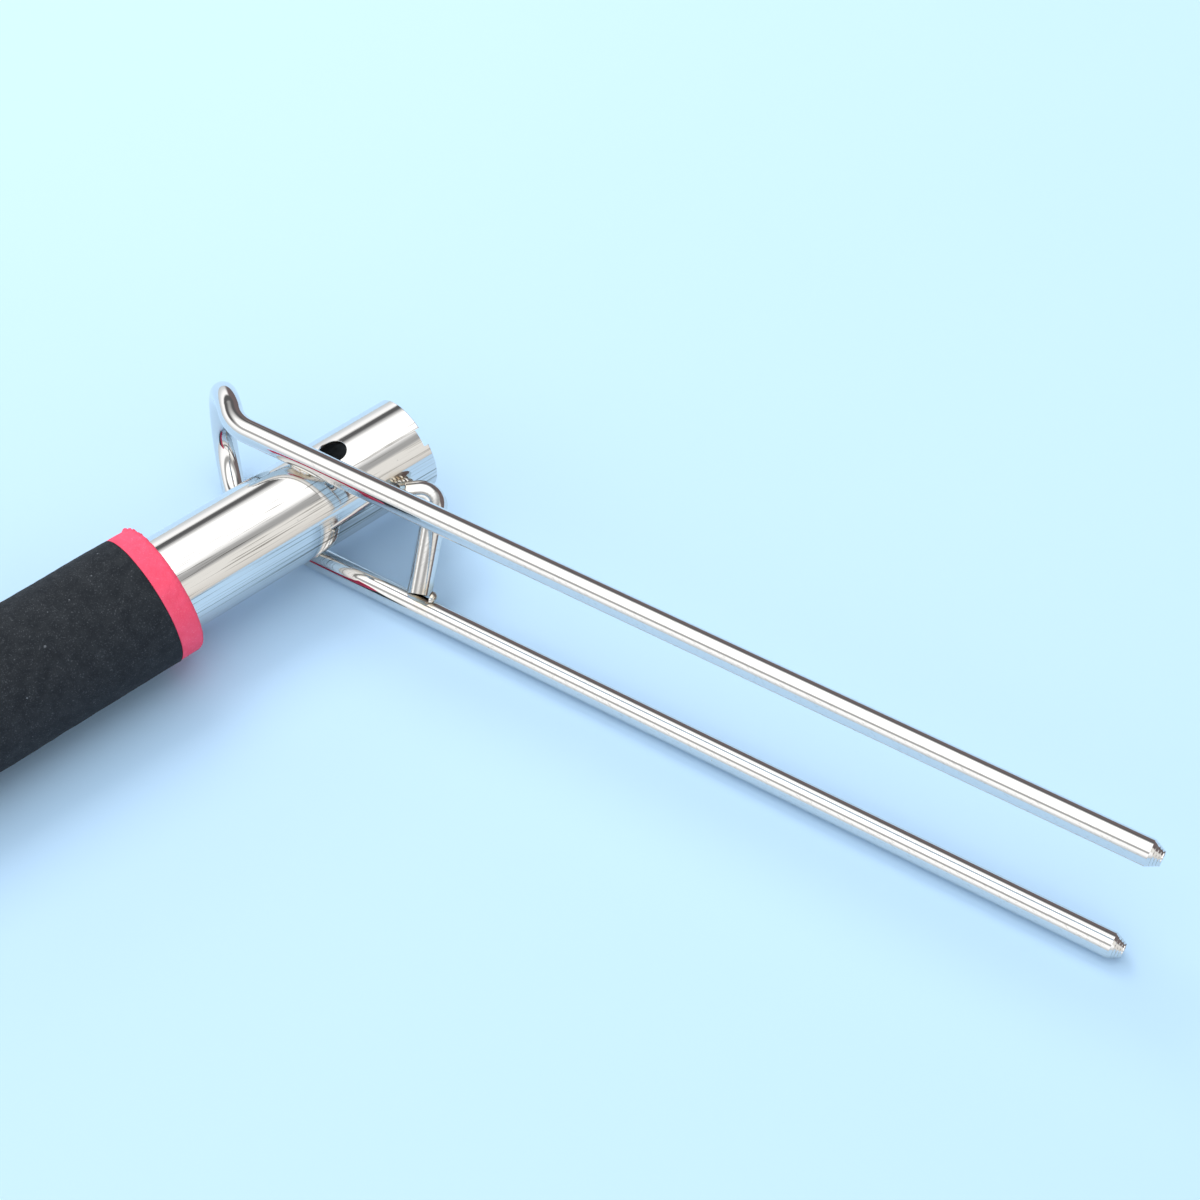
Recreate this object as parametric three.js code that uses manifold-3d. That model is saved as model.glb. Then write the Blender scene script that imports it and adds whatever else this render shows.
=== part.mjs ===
// A two-pronged ground-stake rod holder, lying on its side as it rests on a flat surface.
// A steel rod tube with a foam grip is welded crossways between the legs of a hairpin fork,
// and a short bent brace ties the lower prong to the tube's inner end.
// Millimetres, +Z up. While it is built, the tube crosses the lower prong above the origin and
// runs along +Y towards its notched end; the last lines move the origin to the box's bottom centre.
import * as THREE from "three";
import { mergeVertices } from "three/addons/utils/BufferGeometryUtils.js";
import Module from "manifold-3d";

const wasm = await Module();
wasm.setup();

const degree = Math.PI / 180;
const weldGap = 0.35; // clearance left between pieces that are welded or pressed together

// Round bar of the fork and the brace
const barRadius = 4;
const barSides = 20;

// Fork
const prongAngle = 18 * degree; // from square across the tube
const forkLean = 7 * degree; // the fork's plane leans away from upright
const prongReach = 283.5; // from the tube crossing to the prong ends
const crookDistance = 25.3; // from the tube crossing to the corner where the legs bend aside
const crookAngle = 41 * degree;
const crookRadius = 15;
const crookStraight = 1.5; // straight bar between the upper crook and the loop
const pointLength = 3.6;
const pointRadius = 2.3;

// Rod tube, with distances along it counted from the crossing
const tubeRadius = 16;
const tubeWall = 1.2;
const notchedEnd = 44;
const mouthEnd = -176;
const edgeBreak = 0.3;
const crossHoleAt = 16.2;
const crossHoleRadius = 4.55;
const notchAngle = 42 * degree; // round from the top of the tube
const notchWidth = 6;
const notchDepth = 1.7;

// Foam grip
const foamRadius = 21.6;
const foamEdgeRadius = 1.5;
const ringFace = -49.3;
const ringWidth = 8;

// Brace: its foot stands on the lower prong, its head lies along the side of the tube
const braceFoot = new THREE.Vector3(42.2, 15.3, 2 * barRadius + weldGap);
const braceHeadHeight = 28;
const braceCorner = new THREE.Vector3(25.8, 37.2, braceHeadHeight);
const braceEnd = new THREE.Vector3(20.1, 28.4, braceHeadHeight);
const braceBendRadius = 4.6;

const tubeAxisHeight = 2 * barRadius + weldGap + tubeRadius;
// The grip's far rim and the lower prong both touch the ground, so the tube slopes a little.
const tubeRise =
  Math.asin(tubeAxisHeight / Math.hypot(mouthEnd, foamRadius)) - Math.atan2(foamRadius, -mouthEnd);

const steel = () => new THREE.MeshStandardMaterial({ color: 0xc8cbce, metalness: 1, roughness: 0.1 });
const weldMetal = () => new THREE.MeshStandardMaterial({ color: 0xa89c86, metalness: 1, roughness: 0.4 });
const blackFoam = () => new THREE.MeshStandardMaterial({ color: 0x242527, metalness: 0, roughness: 0.95 });
const redFoam = () => new THREE.MeshStandardMaterial({ color: 0xf5486a, metalness: 0, roughness: 0.85 });

// The centreline of a bent bar: straight lengths and arcs, one after another.
class BarPath extends THREE.Curve {
  constructor(start, heading) {
    super();
    this.points = [start.clone()];
    this.headings = [heading.clone().normalize()];
  }
  get end() {
    return this.points[this.points.length - 1];
  }
  get heading() {
    return this.headings[this.headings.length - 1];
  }
  straight(length) {
    this.points.push(this.end.clone().addScaledVector(this.heading, length));
    this.headings.push(this.heading.clone());
    return this;
  }
  // Turns the heading by angle towards a direction square to it.
  bend(towards, radius, angle, steps) {
    const start = this.end.clone();
    const forward = this.heading.clone();
    for (let i = 1; i <= steps; i++) {
      const turned = (angle * i) / steps;
      const point = start.clone().addScaledVector(forward, radius * Math.sin(turned));
      this.points.push(point.addScaledVector(towards, radius * (1 - Math.cos(turned))));
      const heading = forward.clone().multiplyScalar(Math.cos(turned));
      this.headings.push(heading.addScaledVector(towards, Math.sin(turned)));
    }
    return this;
  }
  getPointAt(u) {
    return this.points[Math.round(u * (this.points.length - 1))].clone();
  }
  getTangentAt(u) {
    return this.headings[Math.round(u * (this.points.length - 1))].clone();
  }
}

function barGeometry(path, radius) {
  const section = new THREE.Shape();
  for (let i = 0; i < barSides; i++) {
    const angle = ((i + 0.5) / barSides) * 2 * Math.PI;
    const corner = [radius * Math.cos(angle), radius * Math.sin(angle)];
    if (i === 0) section.moveTo(...corner);
    else section.lineTo(...corner);
  }
  section.closePath();
  const steps = path.points.length - 1;
  return new THREE.ExtrudeGeometry(section, { steps, extrudePath: path, bevelEnabled: false });
}

function solidOf(geometry) {
  const bare = geometry.clone();
  bare.deleteAttribute("normal");
  bare.deleteAttribute("uv");
  const merged = mergeVertices(bare, 1e-4);
  return new wasm.Manifold(
    new wasm.Mesh({
      numProp: 3,
      vertProperties: merged.attributes.position.array,
      triVerts: new Uint32Array(merged.index.array),
    }),
  );
}

function geometryOf(solid) {
  const mesh = solid.getMesh();
  const geometry = new THREE.BufferGeometry();
  geometry.setAttribute("position", new THREE.BufferAttribute(mesh.vertProperties, 3));
  geometry.setIndex(new THREE.BufferAttribute(mesh.triVerts, 1));
  geometry.computeVertexNormals();
  return geometry;
}

function named(name, geometry, material) {
  const mesh = new THREE.Mesh(geometry, material);
  mesh.name = name;
  return mesh;
}

// Fork: in its own group +X runs along the prongs. The upper prong lies over the tube.
const forwards = new THREE.Vector3(1, 0, 0);
const backwards = new THREE.Vector3(-1, 0, 0);
const sideways = new THREE.Vector3(0, 1, 0);
const prongRise = 2 * (tubeRadius + barRadius + weldGap);
const upperOffset = new THREE.Vector3(0, prongRise * Math.tan(forkLean), prongRise);

function forkPath() {
  const turn = crookRadius * Math.tan(crookAngle / 2);
  const straightProng = prongReach + crookDistance - turn;
  const loopHeading = backwards.clone().multiplyScalar(Math.cos(crookAngle));
  loopHeading.addScaledVector(sideways, Math.sin(crookAngle));
  const legLead = upperOffset.dot(loopHeading);
  const loopAcross = upperOffset.clone().addScaledVector(loopHeading, -legLead);
  const loopRadius = loopAcross.length() / 2;
  const outOfLoop = loopHeading.clone().negate();
  const backToProngs = forwards.clone().addScaledVector(outOfLoop, -Math.cos(crookAngle)).normalize();
  return new BarPath(new THREE.Vector3(prongReach, 0, barRadius), backwards)
    .straight(straightProng)
    .bend(sideways, crookRadius, crookAngle, 6)
    .straight(crookStraight + legLead)
    .bend(loopAcross.normalize(), loopRadius, Math.PI, 18)
    .straight(crookStraight)
    .bend(backToProngs, crookRadius, crookAngle, 6)
    .straight(straightProng);
}

// Removes the outside of a prong's last few millimetres, which leaves a blunt turned point.
function pointCutter(y, z) {
  const spare = 2; // how far the cutter stands clear of the bar
  const profile = [
    [barRadius, -pointLength],
    [barRadius + spare, -pointLength],
    [barRadius + spare, spare],
    [pointRadius, spare],
    [pointRadius, 0],
    [barRadius, -pointLength],
  ];
  const ring = new THREE.LatheGeometry(profile.map(([r, along]) => new THREE.Vector2(r, along)), 40);
  ring.rotateZ(-Math.PI / 2);
  ring.translate(prongReach, y, z);
  return solidOf(ring);
}

const forkBar = solidOf(barGeometry(forkPath(), barRadius))
  .subtract(pointCutter(0, barRadius))
  .subtract(pointCutter(upperOffset.y, barRadius + upperOffset.z));
const forkGroup = new THREE.Group();
forkGroup.rotation.z = prongAngle;
forkGroup.add(named("hairpin_fork", geometryOf(forkBar), steel()));

// Everything on the tube's own axis: +Y runs along it to the notched end.
const tubeGroup = new THREE.Group();
tubeGroup.position.z = tubeAxisHeight;
tubeGroup.rotation.x = tubeRise;

function latheAlongTube(profile, sides) {
  return new THREE.LatheGeometry(profile.map(([r, along]) => new THREE.Vector2(r, along)), sides);
}

function rodTube() {
  const bore = tubeRadius - tubeWall;
  const body = latheAlongTube(
    [
      [bore, mouthEnd],
      [tubeRadius - edgeBreak, mouthEnd],
      [tubeRadius, mouthEnd + edgeBreak],
      [tubeRadius, notchedEnd - edgeBreak],
      [tubeRadius - edgeBreak, notchedEnd],
      [bore, notchedEnd],
      [bore, mouthEnd],
    ],
    60,
  );
  const drill = new THREE.CylinderGeometry(crossHoleRadius, crossHoleRadius, tubeRadius, 32);
  drill.rotateX(Math.PI / 2);
  drill.translate(0, crossHoleAt, tubeRadius);
  const notch = new THREE.BoxGeometry(notchWidth, 2 * notchDepth, tubeRadius);
  notch.translate(0, notchedEnd, tubeRadius);
  notch.rotateY(notchAngle);
  return geometryOf(solidOf(body).subtract(solidOf(drill)).subtract(solidOf(notch)));
}

// A foam collar with softened outer edges, slipped over the tube.
function foamCollar(from, to) {
  const inner = tubeRadius + weldGap;
  const profile = [[inner, from]];
  for (const [at, first] of [[from, -90], [to, 0]]) {
    const centre = at === from ? from + foamEdgeRadius : to - foamEdgeRadius;
    for (let i = 0; i <= 3; i++) {
      const angle = (first + 30 * i) * degree;
      profile.push([
        foamRadius - foamEdgeRadius * (1 - Math.cos(angle)),
        centre + foamEdgeRadius * Math.sin(angle),
      ]);
    }
  }
  profile.push([inner, to], [inner, from]);
  return latheAlongTube(profile, 48);
}

const ringBack = ringFace - ringWidth;
tubeGroup.add(
  named("rod_tube", rodTube(), steel()),
  named("foam_end_ring", foamCollar(ringBack, ringFace), redFoam()),
  named("foam_grip", foamCollar(mouthEnd, ringBack - weldGap), blackFoam()),
);

// Brace, placed straight in the holder's frame.
function bracePath() {
  const rising = braceCorner.clone().sub(braceFoot);
  const lying = braceEnd.clone().sub(braceCorner);
  const heading = rising.clone().normalize();
  const along = lying.clone().normalize();
  const angle = heading.angleTo(along);
  const turn = braceBendRadius * Math.tan(angle / 2);
  const towards = along.clone().addScaledVector(heading, -heading.dot(along)).normalize();
  return new BarPath(braceFoot, heading)
    .straight(rising.length() - turn)
    .bend(towards, braceBendRadius, angle, 7)
    .straight(lying.length() - turn);
}

const holder = new THREE.Group();
holder.add(forkGroup, tubeGroup);

// The brace's foot is ground to sit on the round of the lower prong.
function roundCutter(group, radius, length, centre) {
  const cutter = new THREE.CylinderGeometry(radius, radius, length, 40);
  if (group === forkGroup) cutter.rotateZ(Math.PI / 2);
  cutter.translate(...centre);
  group.updateMatrixWorld(true);
  return solidOf(cutter.applyMatrix4(group.matrixWorld));
}

const cutterLength = 120; // longer than any seam that it clears
const grownBar = barRadius + weldGap;
const upperAxis = [0, upperOffset.y, barRadius + upperOffset.z];
const lowerProng = roundCutter(forkGroup, grownBar, cutterLength, [0, 0, barRadius]);
const upperProng = roundCutter(forkGroup, grownBar, cutterLength, upperAxis);
const tubeClearance = roundCutter(tubeGroup, tubeRadius + weldGap, cutterLength, [0, 0, 0]);
const braceBar = barGeometry(bracePath(), barRadius);
holder.add(named("brace_bar", geometryOf(solidOf(braceBar).subtract(lowerProng)), steel()));

// Weld beads: a lump at each joint, with the pieces that it joins taken out of it. A bead is given
// by its centre, its half size along, across and up, and its turn about the vertical.
function weldBead(name, { centre, halfSize, turn }, ...joined) {
  const lump = new THREE.SphereGeometry(1, 24, 14);
  lump.scale(...halfSize);
  lump.rotateZ(turn);
  lump.translate(...centre);
  let solid = solidOf(lump);
  for (const piece of joined) solid = solid.subtract(piece);
  holder.add(named(name, geometryOf(solid), weldMetal()));
}

const grownBrace = solidOf(barGeometry(bracePath(), grownBar));
const upperCrossing = upperOffset.y / Math.cos(prongAngle);
const upperSeam = tubeAxisHeight + tubeRadius + upperCrossing * Math.sin(tubeRise) + weldGap / 2;
const lowerSeam = 2 * barRadius + weldGap / 2;
const upperBead = { centre: [0, upperCrossing, upperSeam], halfSize: [4.5, 3.2, 1.6], turn: prongAngle };
const lowerBead = { centre: [0, 0, lowerSeam], halfSize: [7, 4.2, 2.3], turn: prongAngle };
const footBead = { centre: [44.6, 17.2, 8.3], halfSize: [2.6, 2.6, 1.3], turn: prongAngle };
const headBead = { centre: [17.4, 27.6, 27], halfSize: [3.2, 6, 4.6], turn: 0 };
weldBead("weld_upper_prong", upperBead, upperProng, tubeClearance);
weldBead("weld_lower_prong", lowerBead, lowerProng, tubeClearance);
weldBead("weld_brace_foot", footBead, lowerProng, grownBrace);
weldBead("weld_brace_head", headBead, tubeClearance, grownBrace);

// The origin goes to the middle of the holder's box, on the ground.
const box = new THREE.Box3().setFromObject(holder, true);
const middle = box.getCenter(new THREE.Vector3());
holder.position.set(-middle.x, -middle.y, -box.min.z);

export default holder;
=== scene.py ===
import math

import bmesh
import bpy
from mathutils import Matrix, Vector, noise


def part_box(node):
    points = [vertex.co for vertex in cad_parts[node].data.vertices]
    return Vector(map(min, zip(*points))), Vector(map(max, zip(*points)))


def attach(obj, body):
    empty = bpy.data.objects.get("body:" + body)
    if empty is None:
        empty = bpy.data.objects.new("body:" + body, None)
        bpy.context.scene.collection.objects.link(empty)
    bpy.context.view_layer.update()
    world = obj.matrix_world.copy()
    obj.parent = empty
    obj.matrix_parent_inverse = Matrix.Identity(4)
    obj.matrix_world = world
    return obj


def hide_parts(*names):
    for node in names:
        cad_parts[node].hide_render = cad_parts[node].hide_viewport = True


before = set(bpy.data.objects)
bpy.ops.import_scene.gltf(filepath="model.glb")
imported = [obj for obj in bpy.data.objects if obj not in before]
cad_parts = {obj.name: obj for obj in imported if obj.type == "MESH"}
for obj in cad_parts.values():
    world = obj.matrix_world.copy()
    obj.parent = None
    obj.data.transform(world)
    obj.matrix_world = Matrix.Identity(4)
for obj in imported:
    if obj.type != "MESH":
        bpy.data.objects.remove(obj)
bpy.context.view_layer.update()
scene = bpy.context.scene
mm = 0.001

# Camera: it stands over the prongs' side of the holder and looks down across the crossing of
# tube and fork, so the prongs run off to the lower right and the grip leaves the view on the left.
view_azimuth = math.radians(49.37)
view_elevation = math.radians(50.185)
camera_place = Vector((275.4, -160.7, 485.0)) * mm
camera = bpy.data.objects.new("camera", bpy.data.cameras.new("camera"))
level = math.cos(view_elevation)
looking = Vector((-math.sin(view_azimuth) * level, math.cos(view_azimuth) * level, -math.sin(view_elevation)))
camera.location = camera_place
camera.rotation_euler = looking.to_track_quat("-Z", "Y").to_euler()
camera.data.sensor_width = 36
camera.data.lens = 58.84
camera.data.clip_start = 0.01
scene.collection.objects.link(camera)
scene.camera = camera
scene.view_settings.view_transform = "Standard"


# Light: a bright room, which the polished steel shows as its bands. A wide white light hangs overhead
# in a darker rim. Beyond the holder the wall is dark, beside it warm, and elsewhere pale.
def add(tree, kind, values=(), **settings):
    """A node of this kind, with its settings, and each input given a value or a wire."""
    made = tree.nodes.new("ShaderNode" + kind)
    for name, value in settings.items():
        setattr(made, name, value)
    for name, value in dict(values).items():
        if isinstance(value, bpy.types.NodeSocket):
            tree.links.new(value, made.inputs[name])
        else:
            made.inputs[name].default_value = value
    return made


def ramp(tree, share, *stops):
    """The colour at this share of the way along a row of (place, colour) stops."""
    made = add(tree, "ValToRGB", {"Fac": share})
    elements = made.color_ramp.elements
    for element, (place, colour) in zip(elements, stops):
        element.position = place
        element.color = (*colour, 1)
    for place, colour in stops[len(elements):]:
        elements.new(place).color = (*colour, 1)
    return made.outputs["Color"]


def between(tree, value, low, high):
    """0 where the value is at low, 1 where it is at high, with a soft turn between."""
    made = add(tree, "MapRange", {0: value, 1: low, 2: high}, interpolation_type="SMOOTHSTEP")
    return made.outputs["Result"]


def times(tree, *values):
    """The product of these numbers."""
    product = values[0]
    for value in values[1:]:
        product = add(tree, "Math", {0: product, 1: value}, operation="MULTIPLY").outputs["Value"]
    return product


def blended(tree, share, first, second):
    """The first colour at share 0 and the second at share 1."""
    made = add(tree, "Mix", {"Factor": share}, data_type="RGBA")
    for socket, colour in ((made.inputs[6], first), (made.inputs[7], second)):
        if isinstance(colour, bpy.types.NodeSocket):
            tree.links.new(colour, socket)
        else:
            socket.default_value = (*colour, 1)
    return made.outputs[2]


def light_room():
    room = bpy.data.worlds.new("room")
    room.use_nodes = True
    tree = room.node_tree
    tree.nodes.clear()
    seen = add(tree, "TexCoord").outputs["Generated"]
    x, y, z = add(tree, "SeparateXYZ", {0: seen}).outputs
    light_tilt = (-0.11, 0.07, 1)
    risen = add(tree, "VectorMath", {0: seen, 1: light_tilt}, operation="DOT_PRODUCT").outputs["Value"]
    pale_wall = ramp(
        tree,
        z,
        (0.0, (0.72, 0.76, 0.78)),
        (0.17, (0.9, 0.93, 0.96)),
        (0.32, (1.3, 1.3, 1.32)),
        (0.5, (1.4, 1.4, 1.4)),
    )
    warm_wall = ramp(
        tree,
        z,
        (0.0, (0.7, 0.69, 0.66)),
        (0.07, (0.9, 0.87, 0.83)),
        (0.35, (1.04, 1.02, 0.98)),
    )
    dark_wall = (0.21, 0.17, 0.175)
    white_light = (1.75, 1.75, 1.75)
    backdrop = (0.72, 0.86, 0.95)
    warm = times(tree, between(tree, x, 0.3, 0.6), between(tree, y, -0.05, 0.15))
    wall = blended(tree, warm, pale_wall, warm_wall)
    wall = blended(tree, between(tree, y, 0.42, 0.58), wall, dark_wall)
    dark_side = (-1, 0.6, 0)
    darker = add(tree, "VectorMath", {0: seen, 1: dark_side}, operation="DOT_PRODUCT").outputs["Value"]
    rim = blended(tree, between(tree, darker, 0.1, 0.5), (0.5, 0.5, 0.5), (0.14, 0.14, 0.145))
    shown = blended(tree, between(tree, risen, 0.64, 0.54), rim, wall)
    soft_edge = add(tree, "MapRange", {0: y, 1: -0.4, 2: 0.1, 3: 0.84, 4: 0.93}).outputs["Result"]
    shown = blended(tree, between(tree, risen, 0.72, soft_edge), shown, white_light)
    path = add(tree, "LightPath").outputs
    cooling = (0.9, 0.98, 1.01)
    cooled = add(tree, "VectorMath", {0: shown, 1: cooling}, operation="MULTIPLY").outputs["Vector"]
    shown = blended(tree, path["Is Diffuse Ray"], shown, cooled)
    shown = blended(tree, path["Is Camera Ray"], shown, backdrop)
    background = add(tree, "Background", {"Color": shown, "Strength": 1.0})
    output = add(tree, "OutputWorld", {"Surface": background.outputs["Background"]})
    output.is_active_output = True
    scene.world = room


light_room()

window = bpy.data.objects.new("window", bpy.data.lights.new("window", "AREA"))
window.location = (-1.15, 0.2, 1.4)
window.rotation_euler = Vector((1.15, -0.2, -1.4)).to_track_quat("-Z", "Y").to_euler()
window.data.shape = "RECTANGLE"
window.data.size = 1.1
window.data.size_y = 0.85
window.data.energy = 13
window.data.color = (1.0, 0.96, 0.92)
window.visible_glossy = False
scene.collection.objects.link(window)

# Hairpin fork: one length of 8 mm round stainless bar. Its two prongs end in blunt turned points,
# and at the other end the legs kink aside and meet in a round loop. It is polished to a mirror.
bar_radius = 4 * mm
bar_sides = 64
prong_angle = math.radians(18)
fork_lean = math.radians(7)
prong_reach = 283.5 * mm
point_length = 3.6 * mm
point_radius = 2.3 * mm
point_break = 0.15 * mm
crook_distance = 25.3 * mm
crook_angle = math.radians(41)
crook_radius = 15 * mm
crook_straight = 1.5 * mm
weld_gap = 0.35 * mm
tube_radius = 16 * mm
tube_edge = 0.3 * mm
notched_end = 44 * mm
tube_rise = math.radians(0.896)

tube_low, tube_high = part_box("rod_tube")
crossing = Vector(
    (
        (tube_low.x + tube_high.x) / 2,
        tube_high.y - notched_end * math.cos(tube_rise) - (tube_radius - tube_edge) * math.sin(tube_rise),
        0,
    )
)
fork_place = Matrix.Translation(crossing) @ Matrix.Rotation(prong_angle, 4, "Z")
prong_rise = 2 * (tube_radius + bar_radius + weld_gap)
upper_offset = Vector((0, prong_rise * math.tan(fork_lean), prong_rise))


def corners(made):
    return [part for part in made if isinstance(part, bmesh.types.BMVert)]


class RoundBar:
    """A round bar in the making. Its open end is carried on in straight lengths and bends."""

    def __init__(self, place, heading, radius):
        self.bm = bmesh.new()
        self.place = place.copy()
        self.heading = heading.normalized()
        self.radius = radius
        turned = self.heading.to_track_quat("Z", "Y").to_matrix().to_4x4()
        at = Matrix.Translation(place) @ turned
        bmesh.ops.create_circle(self.bm, cap_ends=True, radius=radius, segments=bar_sides, matrix=at)
        self.end = list(self.bm.edges)

    def draw_out(self, length, radius=None):
        made = bmesh.ops.extrude_edge_only(self.bm, edges=self.end)["geom"]
        self.end = [e for e in made if isinstance(e, bmesh.types.BMEdge) and e.is_boundary]
        bmesh.ops.translate(self.bm, verts=corners(made), vec=self.heading * length)
        self.place += self.heading * length
        if radius:
            share = radius / self.radius
            centred = Matrix.Translation(-self.place)
            bmesh.ops.scale(self.bm, vec=(share, share, share), space=centred, verts=corners(made))
            self.radius = radius

    def straight(self, length):
        """A plain length, with a ring close to each end that keeps the middle's shading true."""
        held = 0.1 * mm
        for part in (held, length - 2 * held, held):
            self.draw_out(part)

    def bend(self, towards, radius, angle, steps):
        centre = self.place + towards * radius
        axis = self.heading.cross(towards).normalized()
        made = bmesh.ops.spin(
            self.bm, geom=self.end, cent=centre, axis=axis, angle=angle, steps=steps, use_merge=False
        )["geom_last"]
        self.end = [e for e in made if isinstance(e, bmesh.types.BMEdge)]
        turn = Matrix.Rotation(angle, 3, axis)
        self.heading = turn @ self.heading
        self.place = centre + turn @ (self.place - centre)

    def close(self):
        bmesh.ops.contextual_create(self.bm, geom=self.end)
        bmesh.ops.recalc_face_normals(self.bm, faces=self.bm.faces)
        return self.bm


def turn_point(bar, widening):
    """The cone that a lathe leaves on the bar's end, in a few ringed cuts down to a short nib."""
    nib_length = 0.45 * mm
    cuts = 4
    groove = 0.11 * mm
    groove_width = 0.3 * mm
    cone = point_length - nib_length
    rings = [(0, point_radius - point_break), (point_break, point_radius), (nib_length, point_radius)]
    for cut in range(1, cuts + 1):
        along = nib_length + cone * cut / cuts
        radius = point_radius + (bar_radius - point_radius) * cut / cuts
        if cut < cuts:
            bottom = radius - groove
            rings += [(along - groove_width, radius), (along - groove_width / 2, bottom), (along, radius)]
        else:
            rings += [(along, bar_radius)]
    if not widening:
        rings = [(point_length - along, radius) for along, radius in reversed(rings)]
    for (before, _), (along, radius) in zip(rings, rings[1:]):
        bar.draw_out(along - before, radius)


def centre_mark(bm, place):
    """The small dimple that the lathe's centre left in an end face."""
    face = min(bm.faces, key=lambda f: (f.calc_center_median() - place).length)
    mark_radius = 0.55 * mm
    mark_slope = 0.25 * mm
    mark_depth = 0.3 * mm
    bmesh.ops.inset_region(bm, faces=[face], thickness=point_radius - mark_radius)
    bmesh.ops.inset_region(bm, faces=[face], thickness=mark_slope, depth=-mark_depth)


def fork_bar():
    forwards = Vector((1, 0, 0))
    sideways = Vector((0, 1, 0))
    turn = crook_radius * math.tan(crook_angle / 2)
    prong = prong_reach + crook_distance - turn - point_length
    loop_heading = sideways * math.sin(crook_angle) - forwards * math.cos(crook_angle)
    leg_lead = upper_offset.dot(loop_heading)
    loop_across = upper_offset - loop_heading * leg_lead
    back_to_prongs = (forwards + loop_heading * math.cos(crook_angle)).normalized()
    lower_tip = Vector((prong_reach, 0, bar_radius))
    bar = RoundBar(lower_tip, -forwards, point_radius - point_break)
    turn_point(bar, widening=True)
    bar.straight(prong)
    bar.bend(sideways, crook_radius, crook_angle, 16)
    bar.straight(crook_straight + leg_lead)
    bar.bend(loop_across.normalized(), loop_across.length / 2, math.pi, 48)
    bar.straight(crook_straight)
    bar.bend(back_to_prongs, crook_radius, crook_angle, 16)
    bar.straight(prong)
    turn_point(bar, widening=False)
    bm = bar.close()
    centre_mark(bm, lower_tip)
    centre_mark(bm, lower_tip + upper_offset)
    bmesh.ops.transform(bm, matrix=fork_place, verts=bm.verts)
    return bm


def make_piece(name, bm, material, sharp=16):
    """An object from this mesh, smooth except across edges sharper than this many degrees."""
    mesh = bpy.data.meshes.new(name)
    bm.to_mesh(mesh)
    bm.free()
    mesh.shade_smooth()
    mesh.set_sharp_from_angle(angle=math.radians(sharp))
    mesh.materials.append(material)
    piece = bpy.data.objects.new(name, mesh)
    scene.collection.objects.link(piece)
    return piece


def start_group(name, inputs, outputs):
    """An empty node group with these sockets, and its tree, input node and output node."""
    group = bpy.data.node_groups.new(name, "ShaderNodeTree")
    for title, kind in inputs:
        group.interface.new_socket(title, in_out="INPUT", socket_type="NodeSocket" + kind)
    for title, kind in outputs:
        group.interface.new_socket(title, in_out="OUTPUT", socket_type="NodeSocket" + kind)
    return group, group.nodes.new("NodeGroupInput"), group.nodes.new("NodeGroupOutput")


def weld_tint_and_shade_group():
    """The straw and brown of heat tint near a weld, with painted contact shade in the dark brown at the weld
    itself: its colour, and how much of it shows.
    """
    group, given, result = start_group(
        "heat tint and painted shade",
        [("Place", "Vector"), ("Weld", "Vector"), ("Reach", "Float")],
        [("Colour", "Color"), ("Amount", "Float")],
    )
    place = given.outputs["Place"]
    apart = add(group, "VectorMath", {0: place, 1: given.outputs["Weld"]}, operation="DISTANCE")
    uneven = add(group, "TexNoise", {"Vector": place, "Scale": 420, "Detail": 3})
    off = add(group, "MapRange", {0: uneven.outputs["Fac"], 3: -0.22, 4: 0.22}).outputs["Result"]
    share = add(group, "Math", {0: apart.outputs["Value"], 1: given.outputs["Reach"]}, operation="DIVIDE")
    moved = add(group, "Math", {0: share.outputs["Value"], 1: off}, operation="ADD").outputs["Value"]
    # The darkest brown, right at the weld, is painted contact shade as well as heat tint.
    colour = ramp(
        group,
        moved,
        (0.0, (0.13, 0.1, 0.08)),
        (0.35, (0.3, 0.22, 0.14)),
        (0.6, (0.55, 0.44, 0.27)),
        (0.85, (0.68, 0.62, 0.48)),
        (1.0, (0.72, 0.71, 0.68)),
    )
    group.links.new(colour, result.inputs["Colour"])
    group.links.new(between(group, moved, 1.05, 0.45), result.inputs["Amount"])
    return group


def polish_lines_group():
    """The hair lines that a polishing belt leaves along one direction of a piece."""
    group, given, result = start_group(
        "polish lines",
        [("Place", "Vector"), ("Turn", "Vector"), ("Draw", "Vector"), ("Scale", "Float")],
        [("Height", "Float"), ("Lines", "Float")],
    )
    place, turn, draw, scale = (given.outputs[title] for title in ("Place", "Turn", "Draw", "Scale"))
    straightened = add(group, "Mapping", {"Vector": place, "Rotation": turn, "Scale": draw}).outputs["Vector"]
    look = {"Vector": straightened, "Scale": scale, "Detail": 3, "Roughness": 0.6}
    fine = add(group, "TexNoise", look).outputs["Fac"]
    group.links.new(fine, result.inputs["Height"])
    group.links.new(between(group, fine, 0.54, 0.68), result.inputs["Lines"])
    return group


def dust_group():
    """Scattered specks of dust and lint, sized as a share of the pattern's cells."""
    group, given, result = start_group(
        "dust", [("Place", "Vector"), ("Scale", "Float"), ("Size", "Float")], [("Specks", "Float")]
    )
    place = given.outputs["Place"]
    bent = add(group, "TexNoise", {"Vector": place, "Scale": 1500, "Detail": 1})
    push = add(group, "VectorMath", {0: bent.outputs["Color"], "Scale": 0.4 * mm}, operation="SCALE")
    at = add(group, "VectorMath", {0: place, 1: push.outputs["Vector"]}, operation="ADD").outputs["Vector"]
    cells = add(group, "TexVoronoi", {"Vector": at, "Scale": given.outputs["Scale"], "Randomness": 1})
    kept = add(group, "SeparateXYZ", {0: cells.outputs["Color"]}).outputs["X"]
    size = times(group, given.outputs["Size"], between(group, kept, 0.45, 1.0))
    near = add(group, "Math", {0: cells.outputs["Distance"], 1: size}, operation="LESS_THAN")
    group.links.new(near.outputs["Value"], result.inputs["Specks"])
    return group


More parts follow.
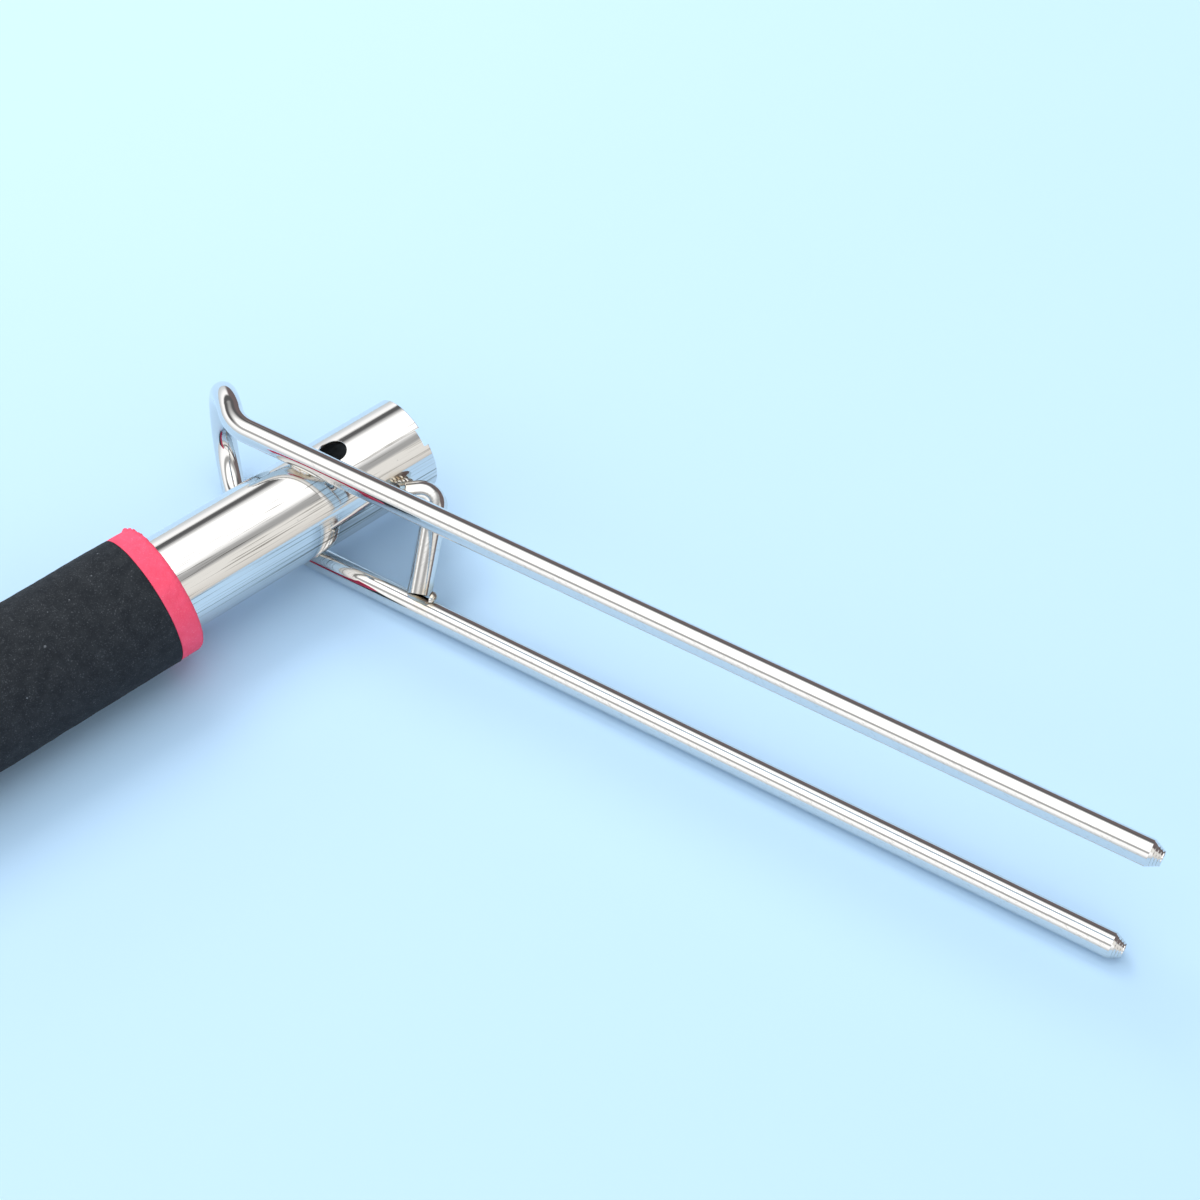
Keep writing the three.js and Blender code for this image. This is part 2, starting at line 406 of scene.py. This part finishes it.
weld_tint_and_shade = weld_tint_and_shade_group()
polish_lines = polish_lines_group()
dust = dust_group()
upper_crossing = upper_offset.y / math.cos(prong_angle)
tube_axis_height = 2 * bar_radius + weld_gap + tube_radius
upper_seam = tube_axis_height + tube_radius + upper_crossing * math.sin(tube_rise) + weld_gap / 2
welds = {
    "upper": crossing + Vector((0, upper_crossing, upper_seam)),
    "lower": crossing + Vector((0, 0, 2 * bar_radius + weld_gap / 2)),
    "foot": crossing + Vector((44.6, 17.2, 8.3)) * mm,
    "head": crossing + Vector((17.4, 27.6, 27)) * mm,
}


def steel(name, tinted, turn=0, draw=(1, 1, 1), lines=0.1, marks=0.2, gloss=0.035):
    """Polished stainless steel with hair lines, dust, and heat tint with painted contact shade round these
    (weld, reach) pairs.
    """
    bare = (0.735, 0.728, 0.713)
    scored = (0.22, 0.21, 0.19)
    dusted = (0.62, 0.62, 0.6)
    material = bpy.data.materials.new(name)
    material.use_nodes = True
    tree = material.node_tree
    shader = tree.nodes["Principled BSDF"]
    place = add(tree, "TexCoord").outputs["Object"]
    hair = add(tree, "Group", node_tree=polish_lines)
    tree.links.new(place, hair.inputs["Place"])
    hair.inputs["Turn"].default_value = (0, 0, -turn)
    hair.inputs["Draw"].default_value = draw
    hair.inputs["Scale"].default_value = 2600
    specks = add(tree, "Group", {"Place": place, "Scale": 170, "Size": 0.035}, node_tree=dust)
    side = add(tree, "SeparateXYZ", {0: place}).outputs["X"]
    handled = between(tree, side, crossing.x - 2 * mm, crossing.x + 10 * mm)
    worn = times(tree, hair.outputs["Lines"], handled, marks)
    colour = blended(tree, worn, bare, scored)
    # Heat tint near each weld, darkened at the weld itself as painted contact shade.
    for weld, reach in tinted:
        tint = add(tree, "Group", {"Place": place, "Weld": welds[weld], "Reach": reach}, node_tree=weld_tint_and_shade)
        colour = blended(tree, times(tree, tint.outputs["Amount"], 0.5), colour, tint.outputs["Colour"])
    colour = blended(tree, specks.outputs["Specks"], colour, dusted)
    wave = add(tree, "TexNoise", {"Vector": place, "Scale": 35, "Detail": 1}).outputs["Fac"]
    roll = add(tree, "Bump", {"Strength": 1, "Distance": 0.012 * mm, "Height": wave}).outputs["Normal"]
    height = hair.outputs["Height"]
    relief = add(tree, "Bump", {"Strength": lines, "Distance": 0.01 * mm, "Height": height, "Normal": roll})
    line_gloss = gloss + 0.1 * lines + 0.02
    rough = add(tree, "MapRange", {0: hair.outputs["Lines"], 3: gloss, 4: line_gloss}).outputs["Result"]
    dusty = add(tree, "Math", {0: rough, 1: specks.outputs["Specks"]}, operation="MAXIMUM")
    tree.links.new(colour, shader.inputs["Base Color"])
    tree.links.new(dusty.outputs["Value"], shader.inputs["Roughness"])
    tree.links.new(relief.outputs["Normal"], shader.inputs["Normal"])
    shader.inputs["Metallic"].default_value = 1
    return material


fork_steel = steel(
    "polished bar",
    [("upper", 6 * mm), ("lower", 9 * mm), ("foot", 6.5 * mm)],
    turn=prong_angle,
    draw=(0.01, 1, 1),
    lines=0.05,
)
fork = make_piece("fork", fork_bar(), fork_steel)
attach(fork, "root")
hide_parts("hairpin_fork")

# Rod tube: 32 mm thin-walled stainless tube, mirror polished. The end inside the fork is cut
# square, with a cross hole near it and a locating notch filed in its rim. Its bore is open.
tube_wall = 1.2 * mm
tube_length = 220 * mm
tube_sides = 192
cross_hole_at = 16.2 * mm
cross_hole_radius = 4.55 * mm
notch_angle = math.radians(42)
notch_width = 6 * mm
notch_depth = 1.7 * mm
tube_middle = crossing + Vector((0, 0, tube_axis_height))
tube_place = Matrix.Translation(tube_middle) @ Matrix.Rotation(tube_rise, 4, "X")


def spun_about_tube(section, sides):
    """A ring-shaped solid from a closed section of (radius, distance along the tube) points."""
    bm = bmesh.new()
    points = [bm.verts.new((0, along, radius)) for radius, along in section]
    outline = [bm.edges.new((points[i - 1], points[i])) for i in range(len(points))]
    bmesh.ops.spin(
        bm,
        geom=points + outline,
        cent=(0, 0, 0),
        axis=(0, 1, 0),
        angle=2 * math.pi,
        steps=sides,
        use_merge=True,
    )
    bmesh.ops.remove_doubles(bm, verts=bm.verts, dist=0.001 * mm)
    bmesh.ops.recalc_face_normals(bm, faces=bm.faces)
    return bm


def cut_away(piece, cutter):
    """Takes the cutter's space out of the piece, and removes the cutter."""
    boolean = piece.modifiers.new("cut", "BOOLEAN")
    boolean.operation = "DIFFERENCE"
    boolean.solver = "EXACT"
    boolean.object = cutter
    graph = bpy.context.evaluated_depsgraph_get()
    cut = bpy.data.meshes.new_from_object(piece.evaluated_get(graph))
    piece.modifiers.clear()
    piece.data = cut
    bpy.data.objects.remove(cutter)


def round_cutter(place, radius, length, sides=64):
    """A plain round bar along its own Z at this place, to be cut away from a piece."""
    bm = bmesh.new()
    bmesh.ops.create_cone(
        bm, cap_ends=True, radius1=radius, radius2=radius, depth=length, segments=sides, matrix=place
    )
    return make_piece("cutter", bm, fork_steel)


def tube_wall_section():
    bore = tube_radius - tube_wall
    near = notched_end
    far = notched_end - tube_length
    section = [(bore, far + tube_edge), (bore + tube_edge, far)]
    for corner in ((far + tube_edge, -90), (near - tube_edge, 0)):
        for step in range(9):
            angle = math.radians(corner[1] + 11.25 * step)
            radius = tube_radius - tube_edge * (1 - math.cos(angle))
            section.append((radius, corner[0] + tube_edge * math.sin(angle)))
    section += [(bore + tube_edge, near), (bore, near - tube_edge)]
    return section


def true_the_round(piece):
    """Gives the walls the exact normals of a cylinder, so they show no facets, and marks the bore."""
    wall_facing = 0.97
    mesh = piece.data
    inward = tube_place.inverted()
    turned = tube_place.to_3x3()
    normals = [Vector((0, 0, 0))] * len(mesh.loops)
    for face in mesh.polygons:
        middle = inward @ face.center
        out = Vector((middle.x, 0, middle.z)).normalized()
        facing = (turned @ out).dot(face.normal)
        if abs(facing) < wall_facing:
            continue
        face.material_index = 1 if facing < 0 else 0
        for loop in face.loop_indices:
            corner = inward @ mesh.vertices[mesh.loops[loop].vertex_index].co
            away = turned @ Vector((corner.x, 0, corner.z)).normalized()
            normals[loop] = away if facing > 0 else -away
    mesh.normals_split_custom_set(normals)


tube_steel = steel(
    "polished tube",
    [("upper", 6 * mm), ("lower", 9 * mm), ("head", 8 * mm)],
    draw=(1, 0.0025, 1),
    lines=0.6,
    marks=1.0,
)


def bore_steel():
    """The tube's inside: dull and streaked along its length as drawn, and much darker than the outside steel.
    """
    material = bpy.data.materials.new("drawn bore")
    material.use_nodes = True
    tree = material.node_tree
    shader = tree.nodes["Principled BSDF"]
    place = add(tree, "TexCoord").outputs["Object"]
    hair = add(tree, "Group", {"Place": place, "Draw": (1, 0.03, 1), "Scale": 900}, node_tree=polish_lines)
    colour = blended(tree, hair.outputs["Height"], (0.1, 0.1, 0.1), (0.22, 0.215, 0.2))
    relief = add(tree, "Bump", {"Strength": 0.5, "Distance": 0.05 * mm, "Height": hair.outputs["Height"]})
    tree.links.new(colour, shader.inputs["Base Color"])
    tree.links.new(relief.outputs["Normal"], shader.inputs["Normal"])
    shader.inputs["Metallic"].default_value = 1
    shader.inputs["Roughness"].default_value = 0.5
    return material


tube_body = spun_about_tube(tube_wall_section(), tube_sides)
bmesh.ops.transform(tube_body, matrix=tube_place, verts=tube_body.verts)
tube = make_piece("tube", tube_body, tube_steel)
drill_place = tube_place @ Matrix.Translation((0, cross_hole_at, tube_radius))
cut_away(tube, round_cutter(drill_place, cross_hole_radius, tube_radius))
file_place = (
    tube_place
    @ Matrix.Rotation(notch_angle, 4, "Y")
    @ Matrix.Translation((0, notched_end, tube_radius))
    @ Matrix.Diagonal((notch_width, 2 * notch_depth, tube_radius, 1))
)
file_body = bmesh.new()
bmesh.ops.create_cube(file_body, size=1, matrix=file_place)
cut_away(tube, make_piece("cutter", file_body, tube_steel))
tube.data.materials.append(bore_steel())
true_the_round(tube)
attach(tube, "root")
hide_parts("rod_tube")

# Foam grip: a sleeve of black closed-cell foam pushed over the far length of the tube. It is a
# little uneven along its length, mottled, and dusty.
foam_radius = 21.6 * mm
foam_edge = 1.5 * mm
cut_edge = 0.25 * mm
foam_bore = tube_radius + 0.15 * mm
foam_sides = 180
ring_face = -49.3 * mm
ring_width = 8 * mm
ring_back = ring_face - ring_width
tube_mouth = notched_end - tube_length


def foam_section(start, end, spacing, first_edge, last_edge):
    """Half the cut face of a foam collar: its bore, its two ends and an outside in short steps."""
    section = [(foam_bore, start)]
    for corner, first, edge in ((start + first_edge, -90, first_edge), (end - last_edge, 0, last_edge)):
        if first == 0:
            outside = end - start - first_edge - last_edge
            steps = max(2, round(outside / spacing))
            section += [(foam_radius, start + first_edge + outside * i / steps) for i in range(1, steps)]
        else:
            section += [(foam_bore + (foam_radius - edge - foam_bore) * i / 6, start) for i in range(1, 6)]
        for step in range(7):
            angle = math.radians(first + 15 * step)
            radius = foam_radius - edge * (1 - math.cos(angle))
            section.append((radius, corner + edge * math.sin(angle)))
    inner = foam_radius - last_edge
    section += [(inner + (foam_bore - inner) * i / 6, end) for i in range(1, 7)]
    return section


def rough_up(bm, depth, size):
    """Pushes the foam's outside in by up to this depth, in a soft pattern of this size."""
    for corner in bm.verts:
        out = Vector((corner.co.x, 0, corner.co.z))
        if out.length > foam_bore + 0.5 * mm:
            worn = 0.5 + 0.5 * noise.fractal(corner.co / size, 0.6, 2.0, 3)
            corner.co -= out.normalized() * depth * min(max(worn, 0), 1)


def foam(name, body, shade, dusting, grain):
    """Matte closed-cell foam, mottled between two colours, with fine cells and specks of dust."""
    material = bpy.data.materials.new(name)
    material.use_nodes = True
    tree = material.node_tree
    shader = tree.nodes["Principled BSDF"]
    place = add(tree, "TexCoord").outputs["Object"]
    patches = {"Vector": place, "Scale": 260, "Detail": 5, "Roughness": 0.7}
    mottle = add(tree, "TexNoise", patches).outputs["Fac"]
    cells = add(tree, "TexVoronoi", {"Vector": place, "Scale": grain}).outputs["Distance"]
    fine = add(tree, "TexNoise", {"Vector": place, "Scale": 2200, "Detail": 3}).outputs["Fac"]
    lint, motes = (
        add(tree, "Group", {"Place": place, "Scale": scale, "Size": size}, node_tree=dust).outputs["Specks"]
        for scale, size in ((260, 0.1), (1900, 0.36))
    )
    colour = blended(tree, between(tree, mottle, 0.3, 0.7), body, shade)
    colour = blended(tree, times(tree, between(tree, fine, 0.55, 0.8), 0.35), colour, dusting)
    settled = times(tree, motes, between(tree, mottle, 0.42, 0.66), 0.4)
    colour = blended(tree, settled, colour, dusting)
    colour = blended(tree, times(tree, lint, 0.7), colour, dusting)
    height = add(tree, "Math", {0: cells, 1: fine}, operation="ADD").outputs["Value"]
    relief = add(tree, "Bump", {"Strength": 0.6, "Distance": 0.12 * mm, "Height": height})
    tree.links.new(colour, shader.inputs["Base Color"])
    tree.links.new(relief.outputs["Normal"], shader.inputs["Normal"])
    shader.inputs["Roughness"].default_value = 0.93
    shader.inputs["Specular IOR Level"].default_value = 0.25
    return material


black_foam = foam("black foam", (0.014, 0.0165, 0.021), (0.026, 0.029, 0.034), (0.17, 0.18, 0.2), 1300)
glue_line = 0.1 * mm
grip_section = foam_section(tube_mouth, ring_back - glue_line, 1 * mm, foam_edge, cut_edge)
grip_body = spun_about_tube(grip_section, foam_sides)
rough_up(grip_body, 0.3 * mm, 11 * mm)
bmesh.ops.transform(grip_body, matrix=tube_place, verts=grip_body.verts)
grip = make_piece("grip", grip_body, black_foam)
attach(grip, "root")
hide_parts("foam_grip")

# End ring: a washer of coral red foam, glued to the grip's inner end. Its outside was cut with a
# knife, which left ragged crumbs along its outer edge.
red_foam = foam("red foam", (0.94, 0.085, 0.155), (0.98, 0.105, 0.19), (1.0, 0.3, 0.38), 1500)
ring_section = foam_section(ring_back, ring_face, 0.5 * mm, cut_edge, foam_edge)
ring_body = spun_about_tube(ring_section, 2 * foam_sides)
rough_up(ring_body, 0.45 * mm, 9 * mm)


def ravel(bm, depth, size):
    """Leaves crumbs and nicks where the knife came out, at the ring's edge beside the bare tube."""
    clean_share = 0.12
    torn_share = 1.2
    for corner in bm.verts:
        out = Vector((corner.co.x, 0, corner.co.z))
        from_edge = ring_face - corner.co.y
        if out.length > foam_radius - 2 * foam_edge and from_edge < foam_edge:
            torn = noise.fractal(corner.co / size, 0.8, 2.0, 4)
            patch = min(max(0.35 - corner.co.x / foam_radius, 0), 1) ** 2
            along = Vector((0, 1, 0)) * max(-torn, 0) * 0.4
            frayed = clean_share + torn_share * patch
            corner.co += (along - out.normalized() * max(torn, -0.5)) * depth * frayed


ravel(ring_body, 1.1 * mm, 1 * mm)
bmesh.ops.transform(ring_body, matrix=tube_place, verts=ring_body.verts)
end_ring = make_piece("end_ring", ring_body, red_foam, sharp=60)
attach(end_ring, "root")
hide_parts("foam_end_ring")

# Brace: a short bent length of the same bar. Its foot is ground to sit on the lower prong and
# its head lies along the tube's side, where it is welded. It is polished, but less finely.
brace_foot = crossing + Vector((42.2, 15.3, 8.35)) * mm
brace_corner = crossing + Vector((25.8, 37.2, 28)) * mm
brace_end = crossing + Vector((20.1, 28.4, 28)) * mm
brace_bend = 4.6 * mm
brace_rounding = 0.4 * mm
cutter_length = 120 * mm


def brace_bar():
    heading = (brace_corner - brace_foot).normalized()
    along = (brace_end - brace_corner).normalized()
    angle = heading.angle(along)
    turn = brace_bend * math.tan(angle / 2)
    towards = (along - heading * heading.dot(along)).normalized()
    bar = RoundBar(brace_foot, heading, bar_radius)
    bar.straight((brace_corner - brace_foot).length - turn)
    bar.bend(towards, brace_bend, angle, 16)
    bar.straight((brace_end - brace_corner).length - turn - brace_rounding)
    bar.draw_out(0.625 * brace_rounding, bar_radius - 0.25 * brace_rounding)
    bar.draw_out(0.375 * brace_rounding, bar_radius - 0.75 * brace_rounding)
    return bar.close()


def prong_cutter(axis_place):
    """A round bar along a prong near the tube, to be cut away from what sits on it."""
    at = fork_place @ Matrix.Translation(axis_place) @ Matrix.Rotation(math.pi / 2, 4, "Y")
    return round_cutter(at, bar_radius + hairline, cutter_length)


lower_prong = Vector((0, 0, bar_radius))
upper_prong = upper_offset + lower_prong
hairline = 0.08 * mm
brace_steel = steel(
    "brushed bar", [("foot", 6 * mm), ("head", 9 * mm)], turn=-0.7, draw=(1, 0.02, 0.4), lines=0.3, gloss=0.1
)
brace = make_piece("brace", brace_bar(), brace_steel)
cut_away(brace, prong_cutter(lower_prong))
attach(brace, "root")
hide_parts("brace_bar")


# Welds: hand-laid beads of filler metal at the two crossings and at the brace's foot and head.
# Each is a run of overlapping puddles, left as welded, with straw and brown heat colours.
def weld_metal():
    material = bpy.data.materials.new("weld metal")
    material.use_nodes = True
    tree = material.node_tree
    shader = tree.nodes["Principled BSDF"]
    place = add(tree, "TexCoord").outputs["Object"]
    patches = add(tree, "TexNoise", {"Vector": place, "Scale": 520, "Detail": 4}).outputs["Fac"]
    colour = ramp(
        tree,
        patches,
        (0.3, (0.34, 0.27, 0.2)),
        (0.45, (0.62, 0.57, 0.48)),
        (0.6, (0.7, 0.69, 0.66)),
        (0.75, (0.5, 0.47, 0.44)),
    )
    relief = add(tree, "Bump", {"Strength": 0.5, "Distance": 0.1 * mm, "Height": patches})
    tree.links.new(colour, shader.inputs["Base Color"])
    tree.links.new(relief.outputs["Normal"], shader.inputs["Normal"])
    shader.inputs["Metallic"].default_value = 1
    shader.inputs["Roughness"].default_value = 0.18
    return material


bead_metal = weld_metal()


def lay_bead(name, node, centre, half_size, turn, cutters):
    """A bead along a seam: puddles in a row, run together, with the joined bars taken out."""
    puddles = 9
    row_share = 0.82
    puddle_length = 0.24
    end_width = 0.25
    wander = 0.12
    bm = bmesh.new()
    at = Matrix.Translation(centre) @ Matrix.Rotation(turn, 4, "Z")
    for i in range(puddles):
        share = (2 * i / (puddles - 1) - 1) * row_share
        full = math.sqrt(1 - share * share)
        sway = noise.noise(Vector((i * 1.7, half_size.x * 900, 0))) * wander * half_size.y
        puddle = at @ Matrix.Translation((share * half_size.x, sway, 0))
        width = half_size.y * (end_width + (1 - end_width) * full)
        size = Matrix.Diagonal((half_size.x * puddle_length, width, half_size.z * full, 1))
        bmesh.ops.create_uvsphere(bm, u_segments=24, v_segments=16, radius=1, matrix=puddle @ size)
    bead = make_piece(name, bm, bead_metal)
    remesh = bead.modifiers.new("run together", "REMESH")
    remesh.mode = "VOXEL"
    remesh.voxel_size = 0.22 * mm
    remesh.use_smooth_shade = True
    graph = bpy.context.evaluated_depsgraph_get()
    run_together = bpy.data.meshes.new_from_object(bead.evaluated_get(graph))
    bead.modifiers.clear()
    bead.data = run_together
    for cutter in cutters:
        cut_away(bead, cutter)
    bead.data.set_sharp_from_angle(angle=math.radians(50))
    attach(bead, "root")
    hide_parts(node)


def tube_cutter():
    at = tube_place @ Matrix.Rotation(math.pi / 2, 4, "X")
    return round_cutter(at, tube_radius + hairline, cutter_length, sides=128)


def cutter_along(place, heading, length):
    """A round bar of the brace's size that lies this way, with its middle at this place."""
    turned = heading.normalized().to_track_quat("Z", "Y").to_matrix().to_4x4()
    return round_cutter(Matrix.Translation(place) @ turned, bar_radius + hairline, length)


def brace_cutter():
    rising = brace_corner - brace_foot
    return cutter_along(brace_foot + rising.normalized() * 10 * mm, rising, 24 * mm)


def brace_head_cutter():
    return cutter_along(brace_end, brace_end - brace_corner, 12 * mm)


lay_bead(
    "upper_bead",
    "weld_upper_prong",
    welds["upper"],
    Vector((4.5, 3.2, 1.6)) * mm,
    prong_angle,
    [prong_cutter(upper_prong), tube_cutter()],
)
lay_bead(
    "lower_bead",
    "weld_lower_prong",
    welds["lower"],
    Vector((7, 4.2, 2.3)) * mm,
    prong_angle,
    [prong_cutter(lower_prong), tube_cutter()],
)
lay_bead(
    "foot_bead",
    "weld_brace_foot",
    welds["foot"],
    Vector((2.6, 2.6, 1.3)) * mm,
    prong_angle,
    [prong_cutter(lower_prong), brace_cutter()],
)
lay_bead(
    "head_bead",
    "weld_brace_head",
    welds["head"],
    Vector((6, 3.2, 4.6)) * mm,
    math.pi / 2,
    [tube_cutter(), brace_head_cutter()],
)


# Floor: a plain pale blue table top, which is not part of the holder.
def table_top():
    material = bpy.data.materials.new("table top")
    material.use_nodes = True
    tree = material.node_tree
    shader = tree.nodes["Principled BSDF"]
    place = add(tree, "TexCoord").outputs["Object"]
    cloud = add(tree, "TexNoise", {"Vector": place, "Scale": 3, "Detail": 2}).outputs["Fac"]
    colour = blended(tree, cloud, (0.505, 0.7, 0.92), (0.53, 0.72, 0.94))
    tree.links.new(colour, shader.inputs["Base Color"])
    shader.inputs["Roughness"].default_value = 0.85
    shader.inputs["Specular IOR Level"].default_value = 0.2
    return material


table_half = 3.0
table_place = Matrix.Translation((0, 0, -0.1 * mm))
table_body = bmesh.new()
bmesh.ops.create_grid(table_body, x_segments=4, y_segments=4, size=table_half, matrix=table_place)
floor = make_piece("floor", table_body, table_top())
